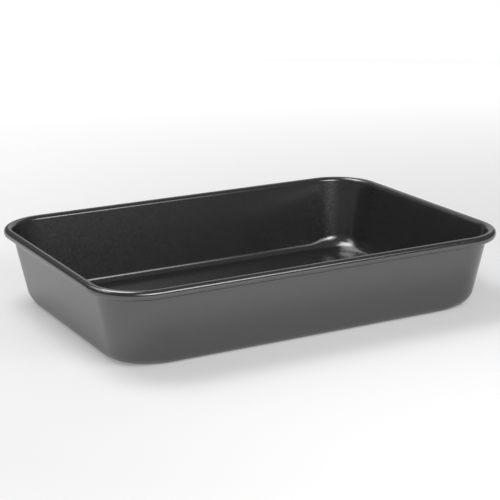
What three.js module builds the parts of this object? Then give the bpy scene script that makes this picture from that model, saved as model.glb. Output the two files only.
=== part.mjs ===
// Roasting pan: a drawn steel shell with a rolled rim, and the wire that stiffens the roll.
// Millimetres, +Z up, +X along the length. The origin is the middle of the base, on the table.

import * as THREE from "three";

// Driving dimensions
const LENGTH = 400; // over the rim, along X
const WIDTH = 280; // over the rim, along Y
const HEIGHT = 72; // table to the top of the rim
const SHEET = 1.0; // thickness of the steel sheet
const WALL_LEAN = 11; // degrees that each wall leans out from upright
const RIM_CORNER = 47; // plan radius of the rim's outer edge at a corner
const FOOT_CORNER = 30; // plan radius of the walls where they would meet the table
const BASE_CORNER = 40; // plan radius of the flat base at a corner
const SIDE_BEND = 8.5; // outside of the bend from the base into a straight wall
const WIRE_DIAMETER = 5.8; // wire that the rim is rolled around
const WIRE_CLEARANCE = 0.3; // wire to the inside of the roll, all round
const LIP_CLEARANCE = 0.4; // cut edge of the roll to the wall
const WIRE_END_GAP = 0.6; // between the butted ends of the wire

// Facets
const CORNER_STEPS = 10;
const LEAD_STEPS = 2;
const BEND_STEPS = 6;
const ROLL_STEP = 20; // degrees
const WIRE_SIDES = 12;

// Sizes that follow. A section lies square to the rim: X is the inset from the rim's outer edge
// towards the middle of the pan, and Y is the height.
const QUARTER_TURN = Math.PI / 2;
const lean = THREE.MathUtils.degToRad(WALL_LEAN);
const inward = new THREE.Vector2(Math.cos(lean), Math.sin(lean)); // square to the wall
const wireRadius = WIRE_DIAMETER / 2;
const hollowRadius = wireRadius + WIRE_CLEARANCE;
const rollRadius = hollowRadius + SHEET;
const rollCentre = new THREE.Vector2(rollRadius, HEIGHT - rollRadius);
const lipAngle = lean + 2 * Math.PI - Math.acos((hollowRadius - LIP_CLEARANCE) / rollRadius);

// The outside of the wall touches the hollow of the roll above and the bend below. Without the bend
// it would meet the table at the foot.
const wallReach = rollCentre.dot(inward) + hollowRadius;
const footInset = wallReach / inward.x;
const bendSlope = Math.tan((QUARTER_TURN - lean) / 2); // width of a bend on the table per radius
const baseInset = footInset + SIDE_BEND * bendSlope;

// Insets of the plan corners' centres. The base is rounder than the foot, so the bend between them
// grows towards the middle of each corner, from that far along the sides.
const footCornerInset = footInset + FOOT_CORNER;
const baseCornerInset = baseInset + BASE_CORNER;
const lead = baseCornerInset - footCornerInset;

function cornerInsetAt(height) {
  return THREE.MathUtils.mapLinear(height, 0, rollCentre.y, footCornerInset, RIM_CORNER);
}

// Radius of the bend's outside at a turn round a corner, or that far along a side from its arc.
function bendRadius({ turn, along }) {
  const ahead = FOOT_CORNER + lead * (Math.cos(turn) + Math.sin(turn));
  const aside = lead * Math.abs(Math.cos(turn) - Math.sin(turn)) - Math.abs(along);
  return (ahead - Math.sqrt(BASE_CORNER ** 2 - aside ** 2)) / bendSlope;
}

function arc(centre, radius, from, to, steps, cornerInset) {
  const points = [];
  for (let i = 0; i <= steps; i++) {
    const angle = THREE.MathUtils.lerp(from, to, i / steps);
    const inset = centre.x + radius * Math.cos(angle);
    const height = centre.y + radius * Math.sin(angle);
    points.push({ inset, height, cornerInset: cornerInset(height) });
  }
  return points;
}

// Round the bend from the base into the wall, on the face that lies so deep in the sheet.
function foot(bend, depth) {
  const centre = new THREE.Vector2((wallReach + bend - bend * inward.y) / inward.x, bend);
  return arc(centre, bend - depth, -QUARTER_TURN, lean - Math.PI, BEND_STEPS, cornerInsetAt);
}

// From the wall over the crown and the outer edge to the cut edge, with points on both of those.
function roll(radius) {
  const stops = [lean, QUARTER_TURN, 2 * QUARTER_TURN, lipAngle];
  const points = [];
  for (let i = 1; i < stops.length; i++) {
    const turn = THREE.MathUtils.radToDeg(stops[i] - stops[i - 1]);
    const steps = Math.ceil(turn / ROLL_STEP);
    const bend = arc(rollCentre, radius, stops[i - 1], stops[i], steps, () => RIM_CORNER);
    points.push(...(i === 1 ? bend : bend.slice(1)));
  }
  return points;
}

// Up the outside, round the hollow of the roll to its cut edge, back over the roll and down inside.
function shellSection(station) {
  const bend = bendRadius(station);
  const outside = [...foot(bend, 0), ...roll(hollowRadius)];
  const inside = [...foot(bend, SHEET), ...roll(rollRadius)];
  return [...outside, ...inside.reverse()];
}

function wireSection() {
  const round = arc(rollCentre, wireRadius, 0, -2 * Math.PI, WIRE_SIDES, () => RIM_CORNER);
  return round.slice(0, WIRE_SIDES);
}

// Stations round the pan, anticlockwise from the back left corner. Each has its corner, its turn
// round that corner's arc, and how far along the side it lies from the arc.
function stationsRound(leadSteps) {
  const stations = [];
  for (let corner = 1; corner <= 4; corner++) {
    for (let i = leadSteps; i > 0; i--) {
      stations.push({ corner, turn: 0, along: -lead * (i / leadSteps) });
    }
    for (let i = 0; i <= CORNER_STEPS; i++) {
      stations.push({ corner, turn: (i / CORNER_STEPS) * QUARTER_TURN, along: 0 });
    }
    for (let i = 1; i <= leadSteps; i++) {
      stations.push({ corner, turn: QUARTER_TURN, along: lead * (i / leadSteps) });
    }
  }
  return stations;
}

// A point of a section in space.
function place({ corner, turn, along }, { inset, height, cornerInset }) {
  const sideX = Math.sign(Math.cos((corner + 0.5) * QUARTER_TURN));
  const sideY = Math.sign(Math.sin((corner + 0.5) * QUARTER_TURN));
  const heading = corner * QUARTER_TURN + turn;
  const reach = cornerInset - inset;
  return new THREE.Vector3(
    sideX * (LENGTH / 2 - cornerInset) + reach * Math.cos(heading) - along * Math.sin(heading),
    sideY * (WIDTH / 2 - cornerInset) + reach * Math.sin(heading) + along * Math.cos(heading),
    height,
  );
}

// Faces between neighbouring points of a grid with one row for each ring.
function gridFaces(rows, columns, rowsClose, columnsClose) {
  const faces = [];
  const lastRow = rowsClose ? rows : rows - 1;
  const lastColumn = columnsClose ? columns : columns - 1;
  for (let row = 0; row < lastRow; row++) {
    for (let column = 0; column < lastColumn; column++) {
      const here = row * columns + column;
      const above = row * columns + (column + 1) % columns;
      const next = ((row + 1) % rows) * columns + column;
      const nextAbove = ((row + 1) % rows) * columns + (column + 1) % columns;
      faces.push(here, next, nextAbove, here, nextAbove, above);
    }
  }
  return faces;
}

function body(points, faces) {
  const geometry = new THREE.BufferGeometry().setFromPoints(points);
  geometry.setIndex(faces);
  geometry.computeVertexNormals();
  return geometry;
}

function shellGeometry() {
  const stations = stationsRound(LEAD_STEPS);
  const rings = stations.map((station) => shellSection(station).map((point) => place(station, point)));
  const columns = rings[0].length;
  const points = rings.flat();
  const faces = gridFaces(rings.length, columns, true, false);
  const baseMiddle = points.push(new THREE.Vector3(0, 0, 0)) - 1;
  const floorMiddle = points.push(new THREE.Vector3(0, 0, SHEET)) - 1;
  for (let row = 0; row < rings.length; row++) {
    const here = row * columns;
    const next = ((row + 1) % rings.length) * columns;
    const floorEdge = columns - 1;
    faces.push(baseMiddle, next, here);
    faces.push(floorMiddle, here + floorEdge, next + floorEdge);
  }
  return body(points, faces);
}

// The wire starts and ends in the middle of the back wall.
function wireGeometry() {
  const section = wireSection();
  const end = (x) => section.map(({ inset, height }) => new THREE.Vector3(x, WIDTH / 2 - inset, height));
  const rings = stationsRound(0).map((station) => section.map((point) => place(station, point)));
  rings.unshift(end(-WIRE_END_GAP / 2));
  rings.push(end(WIRE_END_GAP / 2));
  const faces = gridFaces(rings.length, section.length, false, true);
  const lastRing = (rings.length - 1) * section.length;
  for (let i = 1; i < section.length - 1; i++) {
    faces.push(0, i, i + 1);
    faces.push(lastRing, lastRing + i + 1, lastRing + i);
  }
  return body(rings.flat(), faces);
}

function piece(name, geometry, material) {
  const mesh = new THREE.Mesh(geometry, new THREE.MeshStandardMaterial(material));
  mesh.name = name;
  return mesh;
}

const pan = new THREE.Group();
pan.add(piece("pan_shell", shellGeometry(), { color: 0x47484a, roughness: 0.4, metalness: 0.3 }));
pan.add(piece("rim_wire", wireGeometry(), { color: 0x8d9094, roughness: 0.35, metalness: 1.0 }));

export default pan;
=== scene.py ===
"""Roasting pan: the smooth coated shell and its rim wire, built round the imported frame."""

import math

import bpy
from bpy.props import FloatProperty, FloatVectorProperty, PointerProperty, StringProperty
from mathutils import Matrix, Vector


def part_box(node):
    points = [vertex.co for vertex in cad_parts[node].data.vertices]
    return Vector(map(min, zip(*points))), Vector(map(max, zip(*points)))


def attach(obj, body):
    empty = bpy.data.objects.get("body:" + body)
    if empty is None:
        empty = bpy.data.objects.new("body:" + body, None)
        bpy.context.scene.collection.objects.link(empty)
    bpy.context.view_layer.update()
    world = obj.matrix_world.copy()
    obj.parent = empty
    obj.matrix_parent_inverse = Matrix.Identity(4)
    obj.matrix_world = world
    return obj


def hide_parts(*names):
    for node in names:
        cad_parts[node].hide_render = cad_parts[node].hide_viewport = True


bl_info = {
    "name": "Roasting pan",
    "version": (1, 0, 0),
    "blender": (4, 5, 0),
    "location": "3D View > Sidebar > Pan",
    "description": "Builds a drawn steel roasting pan with a wired rim, and a plain studio round it",
    "category": "Object",
}

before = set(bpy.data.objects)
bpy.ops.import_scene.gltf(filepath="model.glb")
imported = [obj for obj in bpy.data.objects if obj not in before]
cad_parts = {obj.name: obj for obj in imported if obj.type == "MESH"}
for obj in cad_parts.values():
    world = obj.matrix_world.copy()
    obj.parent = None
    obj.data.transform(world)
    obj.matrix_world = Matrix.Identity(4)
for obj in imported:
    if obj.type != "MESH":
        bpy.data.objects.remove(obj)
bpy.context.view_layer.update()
SHELL_LOW, SHELL_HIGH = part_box("pan_shell")
WIRE_LOW, WIRE_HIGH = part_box("rim_wire")
MM = 0.001
QUARTER_TURN = math.pi / 2

# Corners are counted anticlockwise from the back right one, which is 0 and 4. A round of the pan
# starts at the back left.
CORNERS = (1, 2, 3, 4)

# Facets of the smooth meshes
CORNER_STEPS = 24
LEAD_STEPS = 6
LONG_SIDE_STEPS = 10
SHORT_SIDE_STEPS = 6
FOOT_STEPS = 16
ROLL_STEPS = 56
WIRE_SIDES = 32
SHARP_ANGLE = math.radians(40)

# Shares of the way up the wall that have points, and the width of a ring of the floor beside the
# bend. The points close to a bend keep its shading off the flat sheet.
WALL_STOPS = (0.012, 0.2, 0.4, 0.6, 0.8, 0.988)
FLOOR_MARGIN = 2 * MM

# Grain of the coat. Its real flakes are about 0.1 mm, too fine to show, so their fleck and their
# glint are drawn as coarse as a millimetre or two.
FLECK = {"size": 1.0 * MM, "detail": 1}
FLECK_STOPS = {"plain": 0.35, "fleck": 0.65}
GLINT = {"size": 1.6 * MM, "detail": 1}
PEEL = {"size": 2.5 * MM, "detail": 2, "depth": 0.004 * MM}
COAT_ROUGHNESS = {"low": 0.145, "high": 0.26}

# Above the 1.5 or so of a clear resin, because the flakes add to its shine
COAT_IOR = 2.1

# Grain of the wire. Its real scores are a few hundredths of a millimetre wide, too fine to show, so
# they are drawn coarser.
SCORES = {"size": 0.4 * MM, "detail": 4, "depth": 0.01 * MM}
WIRE_ROUGHNESS = {"low": 0.25, "high": 0.4}

# Most of a noise texture's values lie between these
NOISE_RANGE = {"low": 0.3, "high": 0.7}

# Floor, in metres: how far it reaches, how far it lies below the base, and how its glow grows with
# the distance from the pan
FLOOR_REACH = 40.0
FLOOR_DROP = 0.1 * MM
GLOW_NEAR = {"distance": 0.4, "strength": 0.26}
GLOW_FAR = {"distance": 1.7, "strength": 0.88}
WHITE = "#ffffff"

# Camera sensor, in millimetres
CAMERA_SENSOR = 36

# Soft panels: place and size in degrees as seen from the pan, distance in metres, and the share of
# the brightness that is left at the edge
PANELS = {
    "front_soft_box": {
        "azimuth": -10, "elevation": 36, "distance": 1.3, "width": 44, "height": 26, "edge": 0},
    "near_soft_box": {
        "azimuth": 9.5, "elevation": 34.5, "distance": 0.74, "width": 57, "height": 23, "edge": 0},
    "back_soft_box": {
        "azimuth": -139, "elevation": 67, "distance": 1.3, "width": 31, "height": 30, "edge": 0.6},
    "left_fill": {
        "azimuth": -125, "elevation": 44, "distance": 1.3, "width": 52, "height": 16, "edge": 1},
    "back_fill": {
        "azimuth": 145, "elevation": 30, "distance": 1.3, "width": 50, "height": 44, "edge": 1},
}


class PanSizes(bpy.types.PropertyGroup):
    """Sizes of the pressing and its wire"""

    length: FloatProperty(
        name="Length", description="Over the rim, along X", unit="LENGTH",
        default=SHELL_HIGH.x - SHELL_LOW.x)
    width: FloatProperty(
        name="Width", description="Over the rim, along Y", unit="LENGTH",
        default=SHELL_HIGH.y - SHELL_LOW.y)
    height: FloatProperty(
        name="Height", description="Table to the top of the rim", unit="LENGTH",
        default=SHELL_HIGH.z - SHELL_LOW.z)
    sheet: FloatProperty(
        name="Sheet", description="Thickness of the steel sheet", unit="LENGTH", default=1 * MM)
    wall_lean: FloatProperty(
        name="Wall lean", description="How far each wall leans out from upright", subtype="ANGLE",
        default=math.radians(11))
    rim_corner: FloatProperty(
        name="Rim corner", description="Plan radius of the rim's outer edge", unit="LENGTH",
        default=47 * MM)
    foot_corner: FloatProperty(
        name="Foot corner", description="Plan radius of the walls where they would meet the table",
        unit="LENGTH", default=30 * MM)
    base_corner: FloatProperty(
        name="Base corner", description="Plan radius of the flat base", unit="LENGTH",
        default=40 * MM)
    side_bend: FloatProperty(
        name="Side bend", description="Outside of the bend from the base into a side",
        unit="LENGTH", default=8.5 * MM)
    wire_diameter: FloatProperty(
        name="Wire", description="Diameter of the wire in the rim", unit="LENGTH",
        default=WIRE_HIGH.z - WIRE_LOW.z)
    wire_clearance: FloatProperty(
        name="Wire clearance", description="Wire to the inside of the roll", unit="LENGTH",
        default=0.3 * MM)
    lip_clearance: FloatProperty(
        name="Lip clearance", description="Cut edge of the roll to the wall", unit="LENGTH",
        default=0.05 * MM)
    wire_end_gap: FloatProperty(
        name="Wire end gap", description="Between the butted ends of the wire", unit="LENGTH",
        default=0.6 * MM)


class PanFinish(bpy.types.PropertyGroup):
    """Colours of the pan's surfaces, as sRGB hex values"""

    coat: StringProperty(name="Coat", description="Non-stick coat", default="#131313")
    fleck: StringProperty(name="Fleck", description="Flakes in the coat", default="#353535")
    steel: StringProperty(name="Steel", description="Drawn wire", default="#9b9da0")


class PanStudio(bpy.types.PropertyGroup):
    """Floor, lamps and camera"""

    floor: StringProperty(name="Floor", description="Paper that the pan stands on", default="#dcdcdc")
    front_soft_box: FloatProperty(
        name="Front soft box", description="Brightness of its middle, white paper being 1", default=5.8)
    near_soft_box: FloatProperty(
        name="Near soft box", description="Brightness of its middle, white paper being 1", default=7.0)
    back_soft_box: FloatProperty(
        name="Back soft box", description="Brightness of its middle, white paper being 1", default=6.73)
    left_fill: FloatProperty(
        name="Left fill", description="Its brightness, white paper being 1", default=1.6)
    back_fill: FloatProperty(
        name="Back fill", description="Its brightness, white paper being 1", default=0.51)
    room: FloatProperty(
        name="Room", description="Brightness of the room, white paper being 1", default=0.155)

    # The camera's place was fitted to the outline of the pan in the photograph
    camera_azimuth: FloatProperty(
        name="Camera azimuth", description="Round from the front, towards the right", subtype="ANGLE",
        default=math.radians(-28.47))
    camera_elevation: FloatProperty(
        name="Camera elevation", description="Above the horizon", subtype="ANGLE",
        default=math.radians(15.826))
    camera_roll: FloatProperty(
        name="Camera roll", description="Turn about the line of sight", subtype="ANGLE",
        default=math.radians(-0.43))
    camera_distance: FloatProperty(
        name="Camera distance", description="From the point it looks at", unit="LENGTH",
        default=1379 * MM)
    camera_aim: FloatVectorProperty(
        name="Camera aim", description="Point that the camera looks at", unit="LENGTH",
        default=(1.16 * MM, -0.63 * MM, 49.03 * MM))
    camera_lens: FloatProperty(
        name="Camera lens", description="Focal length in millimetres for a 36 mm sensor",
        default=107.58)


def linear(hex_colour):
    """An sRGB hex colour as linear red, green, blue and alpha."""
    channels = []
    for i in (1, 3, 5):
        value = int(hex_colour[i:i + 2], 16) / 255
        channels.append(value / 12.92 if value <= 0.04045 else ((value + 0.055) / 1.055) ** 2.4)
    return (*channels, 1.0)


def add_node(tree, kind, sockets=None, **settings):
    """Adds a node. A socket's value is a constant, or (node, output) for a link."""
    node = tree.nodes.new(kind)
    for name, value in settings.items():
        setattr(node, name, value)
    for name, value in (sockets or {}).items():
        if isinstance(value, tuple) and isinstance(value[0], bpy.types.Node):
            tree.links.new(value[0].outputs[value[1]], node.inputs[name])
        else:
            node.inputs[name].default_value = value
    return node


def new_material(name):
    """An empty node material and its tree."""
    material = bpy.data.materials.new(name)
    material.use_nodes = True
    material.node_tree.nodes.clear()
    return material, material.node_tree


def nonstick_coat(finish):
    """Baked non-stick coat, sprayed on steel: dark grey and half glossy. The flakes in it give a fine
    fleck, and a glint that breaks up its highlights. The spray leaves a faint orange peel."""
    material, tree = new_material("baked_nonstick_coat")
    place = add_node(tree, "ShaderNodeTexCoord")
    flecks = add_node(tree, "ShaderNodeTexNoise", {
        "Vector": (place, "Object"), "Scale": 1 / FLECK["size"], "Detail": FLECK["detail"]})
    colour = add_node(tree, "ShaderNodeValToRGB", {"Fac": (flecks, "Fac")})
    plain, fleck = colour.color_ramp.elements
    plain.position = FLECK_STOPS["plain"]
    plain.color = linear(finish.coat)
    fleck.position = FLECK_STOPS["fleck"]
    fleck.color = linear(finish.fleck)
    glints = add_node(tree, "ShaderNodeTexNoise", {
        "Vector": (place, "Object"), "Scale": 1 / GLINT["size"], "Detail": GLINT["detail"]})
    roughness = add_node(tree, "ShaderNodeMapRange", {
        "Value": (glints, "Fac"), "From Min": NOISE_RANGE["low"], "From Max": NOISE_RANGE["high"],
        "To Min": COAT_ROUGHNESS["low"], "To Max": COAT_ROUGHNESS["high"]})
    peel = add_node(tree, "ShaderNodeTexNoise", {
        "Vector": (place, "Object"), "Scale": 1 / PEEL["size"], "Detail": PEEL["detail"]})
    bump = add_node(tree, "ShaderNodeBump", {
        "Height": (peel, "Fac"), "Strength": 1, "Distance": PEEL["depth"]})
    shader = add_node(tree, "ShaderNodeBsdfPrincipled", {
        "Base Color": (colour, "Color"), "Roughness": (roughness, "Result"), "IOR": COAT_IOR,
        "Normal": (bump, "Normal")})
    add_node(tree, "ShaderNodeOutputMaterial", {"Surface": (shader, "BSDF")})
    return material


def drawn_steel(finish):
    """Bright steel wire, pulled through a die: grey metal with a satin shine, broken by fine scores."""
    material, tree = new_material("drawn_steel_wire")
    place = add_node(tree, "ShaderNodeTexCoord")
    scores = add_node(tree, "ShaderNodeTexNoise", {
        "Vector": (place, "Object"), "Scale": 1 / SCORES["size"], "Detail": SCORES["detail"]})
    roughness = add_node(tree, "ShaderNodeMapRange", {
        "Value": (scores, "Fac"), "From Min": NOISE_RANGE["low"], "From Max": NOISE_RANGE["high"],
        "To Min": WIRE_ROUGHNESS["low"], "To Max": WIRE_ROUGHNESS["high"]})
    bump = add_node(tree, "ShaderNodeBump", {
        "Height": (scores, "Fac"), "Strength": 1, "Distance": SCORES["depth"]})
    shader = add_node(tree, "ShaderNodeBsdfPrincipled", {
        "Base Color": linear(finish.steel), "Metallic": 1, "Roughness": (roughness, "Result"),
        "Normal": (bump, "Normal")})
    add_node(tree, "ShaderNodeOutputMaterial", {"Surface": (shader, "BSDF")})
    return material


def white_paper(studio):
    """Matt studio paper, seen from above only. It takes the pan's shadow, and to the eye and in
    reflections it glows, more where the lamps are far away, so that it stays white."""
    material, tree = new_material("white_paper")
    paper = add_node(tree, "ShaderNodeBsdfDiffuse", {"Color": linear(studio.floor)})
    rays = add_node(tree, "ShaderNodeLightPath")
    direct = add_node(tree, "ShaderNodeMath", {
        0: (rays, "Is Camera Ray"), 1: (rays, "Is Glossy Ray")}, operation="MAXIMUM")
    seen = add_node(tree, "ShaderNodeMath", {
        0: (direct, "Value"), 1: (rays, "Is Transmission Ray")}, operation="MAXIMUM")
    place = add_node(tree, "ShaderNodeTexCoord")
    distance = add_node(tree, "ShaderNodeVectorMath", {0: (place, "Object")}, operation="LENGTH")
    spread = add_node(tree, "ShaderNodeMapRange", {
        "Value": (distance, "Value"),
        "From Min": GLOW_NEAR["distance"], "From Max": GLOW_FAR["distance"],
        "To Min": GLOW_NEAR["strength"], "To Max": GLOW_FAR["strength"]})
    strength = add_node(tree, "ShaderNodeMath", {
        0: (seen, "Value"), 1: (spread, "Result")}, operation="MULTIPLY")
    glow = add_node(tree, "ShaderNodeEmission", {
        "Color": linear(WHITE), "Strength": (strength, "Value")})
    top = add_node(tree, "ShaderNodeAddShader", {0: (paper, "BSDF"), 1: (glow, "Emission")})
    below = add_node(tree, "ShaderNodeBsdfTransparent")
    side = add_node(tree, "ShaderNodeNewGeometry")
    surface = add_node(tree, "ShaderNodeMixShader", {
        0: (side, "Backfacing"), 1: (top, "Shader"), 2: (below, "BSDF")})
    add_node(tree, "ShaderNodeOutputMaterial", {"Surface": (surface, "Shader")})
    return material


class Section:
    """The sheet's section, square to the rim. A point is (inset from the rim's outer edge, height,
    inset of the plan corner's centre)."""

    def __init__(self, sizes):
        self.sizes = sizes
        self.wire = sizes.wire_diameter / 2
        self.hollow = self.wire + sizes.wire_clearance
        self.roll = self.hollow + sizes.sheet
        self.roll_centre = Vector((self.roll, sizes.height - self.roll))
        # Square to the wall. Its outer face runs on into the hollow of the roll.
        self.inward = Vector((math.cos(sizes.wall_lean), math.sin(sizes.wall_lean)))
        self.wall_reach = self.roll_centre.dot(self.inward) + self.hollow
        # Where that face would meet the table, and the plan corner's centre there
        foot_inset = self.wall_reach / self.inward.x
        self.foot_corner = foot_inset + sizes.foot_corner
        # Width of the bend on the table, for its radius
        self.bend_slope = math.tan((QUARTER_TURN - sizes.wall_lean) / 2)
        # How far before a corner's arc the bend starts to grow
        base_inset = foot_inset + sizes.side_bend * self.bend_slope
        self.lead = base_inset + sizes.base_corner - self.foot_corner
        # Where the cut edge of the roll stops, short of the wall
        lip_reach = (self.hollow - sizes.lip_clearance) / self.roll
        self.lip_angle = sizes.wall_lean + 2 * math.pi - math.acos(lip_reach)

    def bend(self, turn, along):
        """The bend's radius at a turn round a corner, or so far along a side from the corner's arc.
        It fills the space between the foot of the walls and the base, whose corner is rounder."""
        ahead = self.sizes.foot_corner + self.lead * (math.cos(turn) + math.sin(turn))
        aside = self.lead * abs(math.cos(turn) - math.sin(turn)) - abs(along)
        width = ahead - math.sqrt(self.sizes.base_corner ** 2 - aside ** 2)
        return width / self.bend_slope

    def corner_inset(self, height):
        """The inset of the plan corner's centre on the wall, which changes evenly with height."""
        share = height / self.roll_centre.y
        return self.foot_corner + (self.sizes.rim_corner - self.foot_corner) * share

    def foot(self, bend, thickness):
        """Round the bend from the base into the wall, on the face that is so far from the outside."""
        inset = (self.wall_reach + bend - bend * self.inward.y) / self.inward.x
        points = arc(Vector((inset, bend)), bend - thickness, -QUARTER_TURN,
                     self.sizes.wall_lean - math.pi, FOOT_STEPS)
        points.insert(0, (points[0][0] + FLOOR_MARGIN, points[0][1]))
        return [(inset, height, self.corner_inset(height)) for inset, height in points]

    def rolled(self, radius):
        """From the wall over the crown and the outer edge to the cut edge."""
        points = arc(self.roll_centre, radius, self.sizes.wall_lean, self.lip_angle, ROLL_STEPS)
        return [(inset, height, self.sizes.rim_corner) for inset, height in points]

    def face(self, bend, thickness):
        """One face of the sheet, from the floor up the wall and round the roll."""
        foot = self.foot(bend, thickness)
        roll = self.rolled(self.hollow + thickness)
        wall = [mix(foot[-1], roll[0], stop) for stop in WALL_STOPS]
        return [*foot, *wall, *roll]

    def sheet(self, turn, along):
        """Up the outside, round the hollow of the roll, back over it and down inside."""
        bend = self.bend(turn, along)
        return self.face(bend, 0) + self.face(bend, self.sizes.sheet)[::-1]

    def wire_round(self, turn, along):
        """Round the wire, which has one section all along."""
        points = arc(self.roll_centre, self.wire, 0, -2 * math.pi, WIRE_SIDES)[:-1]
        return [(inset, height, self.sizes.rim_corner) for inset, height in points]


def arc(centre, radius, start, end, steps):
    """Points round an arc, both ends included."""
    points = []
    for i in range(steps + 1):
        angle = start + (end - start) * i / steps
        points.append((centre.x + radius * math.cos(angle), centre.y + radius * math.sin(angle)))
    return points


def mix(a, b, share):
    """The point at that share of the way from a to b."""
    return tuple(x + (y - x) * share for x, y in zip(a, b))


def corner_ring(sizes, section, corner, turn, along=0):
    """The section's points at a turn round a corner, or so far along the side from the corner's arc."""
    start = corner * QUARTER_TURN
    middle = start + QUARTER_TURN / 2
    side_x = math.copysign(1, math.cos(middle))
    side_y = math.copysign(1, math.sin(middle))
    heading = start + turn
    ring = []
    for inset, height, corner_inset in section(turn, along):
        reach = corner_inset - inset
        ring.append((
            side_x * (sizes.length / 2 - corner_inset)
            + reach * math.cos(heading) - along * math.sin(heading),
            side_y * (sizes.width / 2 - corner_inset)
            + reach * math.sin(heading) + along * math.cos(heading),
            height))
    return ring


def rings_round(sizes, section, lead):
    """The section's points all round the pan. The lead is how far before each corner's arc the bend
    starts to grow."""
    rings = []
    for corner in CORNERS:
        for i in range(LEAD_STEPS):
            rings.append(corner_ring(sizes, section, corner, 0, lead * (i / LEAD_STEPS - 1)))
        for i in range(CORNER_STEPS + 1):
            rings.append(corner_ring(sizes, section, corner, i / CORNER_STEPS * QUARTER_TURN))
        for i in range(LEAD_STEPS):
            along = lead * (i + 1) / LEAD_STEPS
            rings.append(corner_ring(sizes, section, corner, QUARTER_TURN, along))
        leaving = rings[-1]
        following = corner_ring(sizes, section, corner + 1, 0, -lead)
        # A short side follows each odd corner
        steps = SHORT_SIDE_STEPS if corner % 2 else LONG_SIDE_STEPS
        for i in range(1, steps):
            rings.append([mix(a, b, i / steps) for a, b in zip(leaving, following)])
    return rings


def grid_faces(rows, columns, rows_close, columns_close):
    """Quads between neighbouring points of a grid with one row for each ring."""
    faces = []
    for row in range(rows if rows_close else rows - 1):
        following = (row + 1) % rows
        for column in range(columns if columns_close else columns - 1):
            above = (column + 1) % columns
            faces.append((row * columns + column, following * columns + column,
                          following * columns + above, row * columns + above))
    return faces


def add_piece(name, points, faces, material, node):
    """A smooth mesh piece that rides on the pan and stands for a CAD node."""
    mesh = bpy.data.meshes.new(name)
    mesh.from_pydata(points, [], faces)
    if mesh.validate():
        raise RuntimeError(f"{name} has faces that do not hold together")
    mesh.shade_smooth()
    mesh.set_sharp_from_angle(angle=SHARP_ANGLE)
    mesh.materials.append(material)
    piece = bpy.data.objects.new(name, mesh)
    bpy.context.scene.collection.objects.link(piece)
    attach(piece, "root")
    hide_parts(node)
    return piece


class PAN_OT_shell(bpy.types.Operator):
    """Build the drawn shell with its rolled rim"""

    bl_idname = "pan.shell"
    bl_label = "Pan shell"

    def execute(self, context):
        scene = context.scene
        section = Section(scene.pan_sizes)
        rings = rings_round(scene.pan_sizes, section.sheet, section.lead)
        points = [point for ring in rings for point in ring]
        columns = len(rings[0])
        faces = grid_faces(len(rings), columns, True, False)
        base = [row * columns for row in range(len(rings))]
        floor = [first + columns - 1 for first in base]
        faces.append(tuple(reversed(base)))
        faces.append(tuple(floor))
        add_piece("coated_shell", points, faces, nonstick_coat(scene.pan_finish),
                  "pan_shell")
        return {"FINISHED"}


class PAN_OT_wire(bpy.types.Operator):
    """Build the wire that the rim is rolled round"""

    bl_idname = "pan.wire"
    bl_label = "Rim wire"

    def execute(self, context):
        scene = context.scene
        sizes = scene.pan_sizes
        section = Section(sizes)
        rings = rings_round(sizes, section.wire_round, section.lead)
        # The rings along the back give way to the butted ends at its middle
        back = len(rings) - (LONG_SIDE_STEPS - 1)
        start, end = (
            [(side * sizes.wire_end_gap / 2, sizes.width / 2 - inset, height)
             for inset, height, _ in section.wire_round(0, 0)]
            for side in (-1, 1))
        rings = [start, *rings[:back], end]
        points = [point for ring in rings for point in ring]
        faces = grid_faces(len(rings), WIRE_SIDES, False, True)
        last = (len(rings) - 1) * WIRE_SIDES
        faces.append(tuple(range(WIRE_SIDES)))
        faces.append(tuple(reversed(range(last, last + WIRE_SIDES))))
        add_piece("drawn_wire", points, faces, drawn_steel(scene.pan_finish),
                  "rim_wire")
        return {"FINISHED"}


class PAN_OT_studio(bpy.types.Operator):
    """Set the floor, the lamps and the camera"""

    bl_idname = "pan.studio"
    bl_label = "Studio"

    def execute(self, context):
        scene = context.scene
        studio = scene.pan_studio
        add_floor(studio)
        for name, place in PANELS.items():
            add_panel(scene, name, getattr(studio, name), **place)
        add_room(scene, studio.room)
        add_camera(scene)
        scene.view_settings.view_transform = "Standard"
        return {"FINISHED"}


def add_floor(studio):
    """A wide sheet of white paper, a hair below the pan's base so that their faces don't mix."""
    corners = [(x * FLOOR_REACH, y * FLOOR_REACH, -FLOOR_DROP)
               for x, y in ((-1, -1), (1, -1), (1, 1), (-1, 1))]
    mesh = bpy.data.meshes.new("paper_floor")
    mesh.from_pydata(corners, [], [(0, 1, 2, 3)])
    mesh.materials.append(white_paper(studio))
    floor = bpy.data.objects.new("paper_floor", mesh)
    bpy.context.scene.collection.objects.link(floor)


def direction(azimuth, elevation):
    """The unit vector at an azimuth from the front and an elevation above the horizon."""
    return Vector((math.sin(azimuth) * math.cos(elevation), -math.cos(azimuth) * math.cos(elevation),
                   math.sin(elevation)))


def facing(position, target, roll=0):
    """The matrix of an object at a position that looks at a target, turned about that line."""
    turn = (position - target).to_track_quat("Z", "Y").to_matrix()
    return Matrix.Translation(position) @ (turn @ Matrix.Rotation(roll, 3, "Z")).to_4x4()


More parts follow.
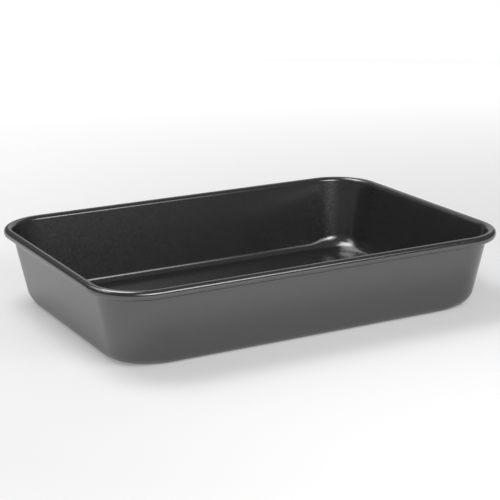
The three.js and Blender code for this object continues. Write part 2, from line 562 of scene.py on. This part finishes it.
def add_panel(scene, name, brightness, azimuth, elevation, distance, width, height, edge):
    """A panel of soft light that faces the pan, brightest in its middle, out of the camera's sight."""
    data = bpy.data.lights.new(name, "AREA")
    data.shape = "RECTANGLE"
    data.size = 2 * distance * math.tan(math.radians(width / 2))
    data.size_y = 2 * distance * math.tan(math.radians(height / 2))
    # The power that gives a flat lamp of this size that brightness
    data.energy = brightness * math.pi * data.size * data.size_y
    data.use_nodes = True
    tree = data.node_tree
    tree.nodes.clear()
    place = add_node(tree, "ShaderNodeNewGeometry")
    # From 0 to 1 across the panel, to -1 to 1 about its middle
    centred = add_node(tree, "ShaderNodeMapping", {
        "Vector": (place, "Parametric"), "Location": (-1, -1, 0), "Scale": (2, 2, 0)})
    nearness = add_node(tree, "ShaderNodeTexGradient", {
        "Vector": (centred, "Vector")}, gradient_type="SPHERICAL")
    share = add_node(tree, "ShaderNodeMapRange", {"Value": (nearness, "Fac"), "To Min": edge})
    glow = add_node(tree, "ShaderNodeEmission", {"Strength": (share, "Result")})
    add_node(tree, "ShaderNodeOutputLight", {"Surface": (glow, "Emission")})
    panel = bpy.data.objects.new(name, data)
    position = direction(math.radians(azimuth), math.radians(elevation)) * distance
    panel.matrix_world = facing(position, Vector())
    panel.visible_camera = False
    scene.collection.objects.link(panel)


def add_room(scene, brightness):
    """Weak even light from a grey room."""
    world = bpy.data.worlds.new("grey_room")
    world.use_nodes = True
    background = world.node_tree.nodes["Background"]
    background.inputs["Color"].default_value = linear(WHITE)
    background.inputs["Strength"].default_value = brightness
    scene.world = world


def add_camera(scene):
    """The camera at the photograph's place."""
    studio = scene.pan_studio
    data = bpy.data.cameras.new("camera")
    data.sensor_width = CAMERA_SENSOR
    data.lens = studio.camera_lens
    camera = bpy.data.objects.new("camera", data)
    aim = Vector(studio.camera_aim)
    back = direction(studio.camera_azimuth, studio.camera_elevation)
    camera.matrix_world = facing(aim + back * studio.camera_distance, aim, studio.camera_roll)
    scene.collection.objects.link(camera)
    scene.camera = camera


class PAN_PT_sidebar(bpy.types.Panel):
    """Pan sizes, finishes and studio"""

    bl_idname = "PAN_PT_sidebar"
    bl_label = "Roasting pan"
    bl_space_type = "VIEW_3D"
    bl_region_type = "UI"
    bl_category = "Pan"

    def draw(self, context):
        scene = context.scene
        for group in (scene.pan_sizes, scene.pan_finish, scene.pan_studio):
            box = self.layout.box()
            for name in group.__annotations__:
                box.prop(group, name)
        for operator in OPERATORS:
            self.layout.operator(operator.bl_idname)


GROUPS = {"pan_sizes": PanSizes, "pan_finish": PanFinish, "pan_studio": PanStudio}
OPERATORS = (PAN_OT_shell, PAN_OT_wire, PAN_OT_studio)
CLASSES = (*GROUPS.values(), *OPERATORS, PAN_PT_sidebar)


def register():
    for cls in CLASSES:
        bpy.utils.register_class(cls)
    for name, group in GROUPS.items():
        setattr(bpy.types.Scene, name, PointerProperty(type=group))


def unregister():
    for name in GROUPS:
        delattr(bpy.types.Scene, name)
    for cls in reversed(CLASSES):
        bpy.utils.unregister_class(cls)


def main():
    register()
    bpy.ops.pan.shell()
    bpy.ops.pan.wire()
    bpy.ops.pan.studio()


if __name__ == "__main__":
    main()
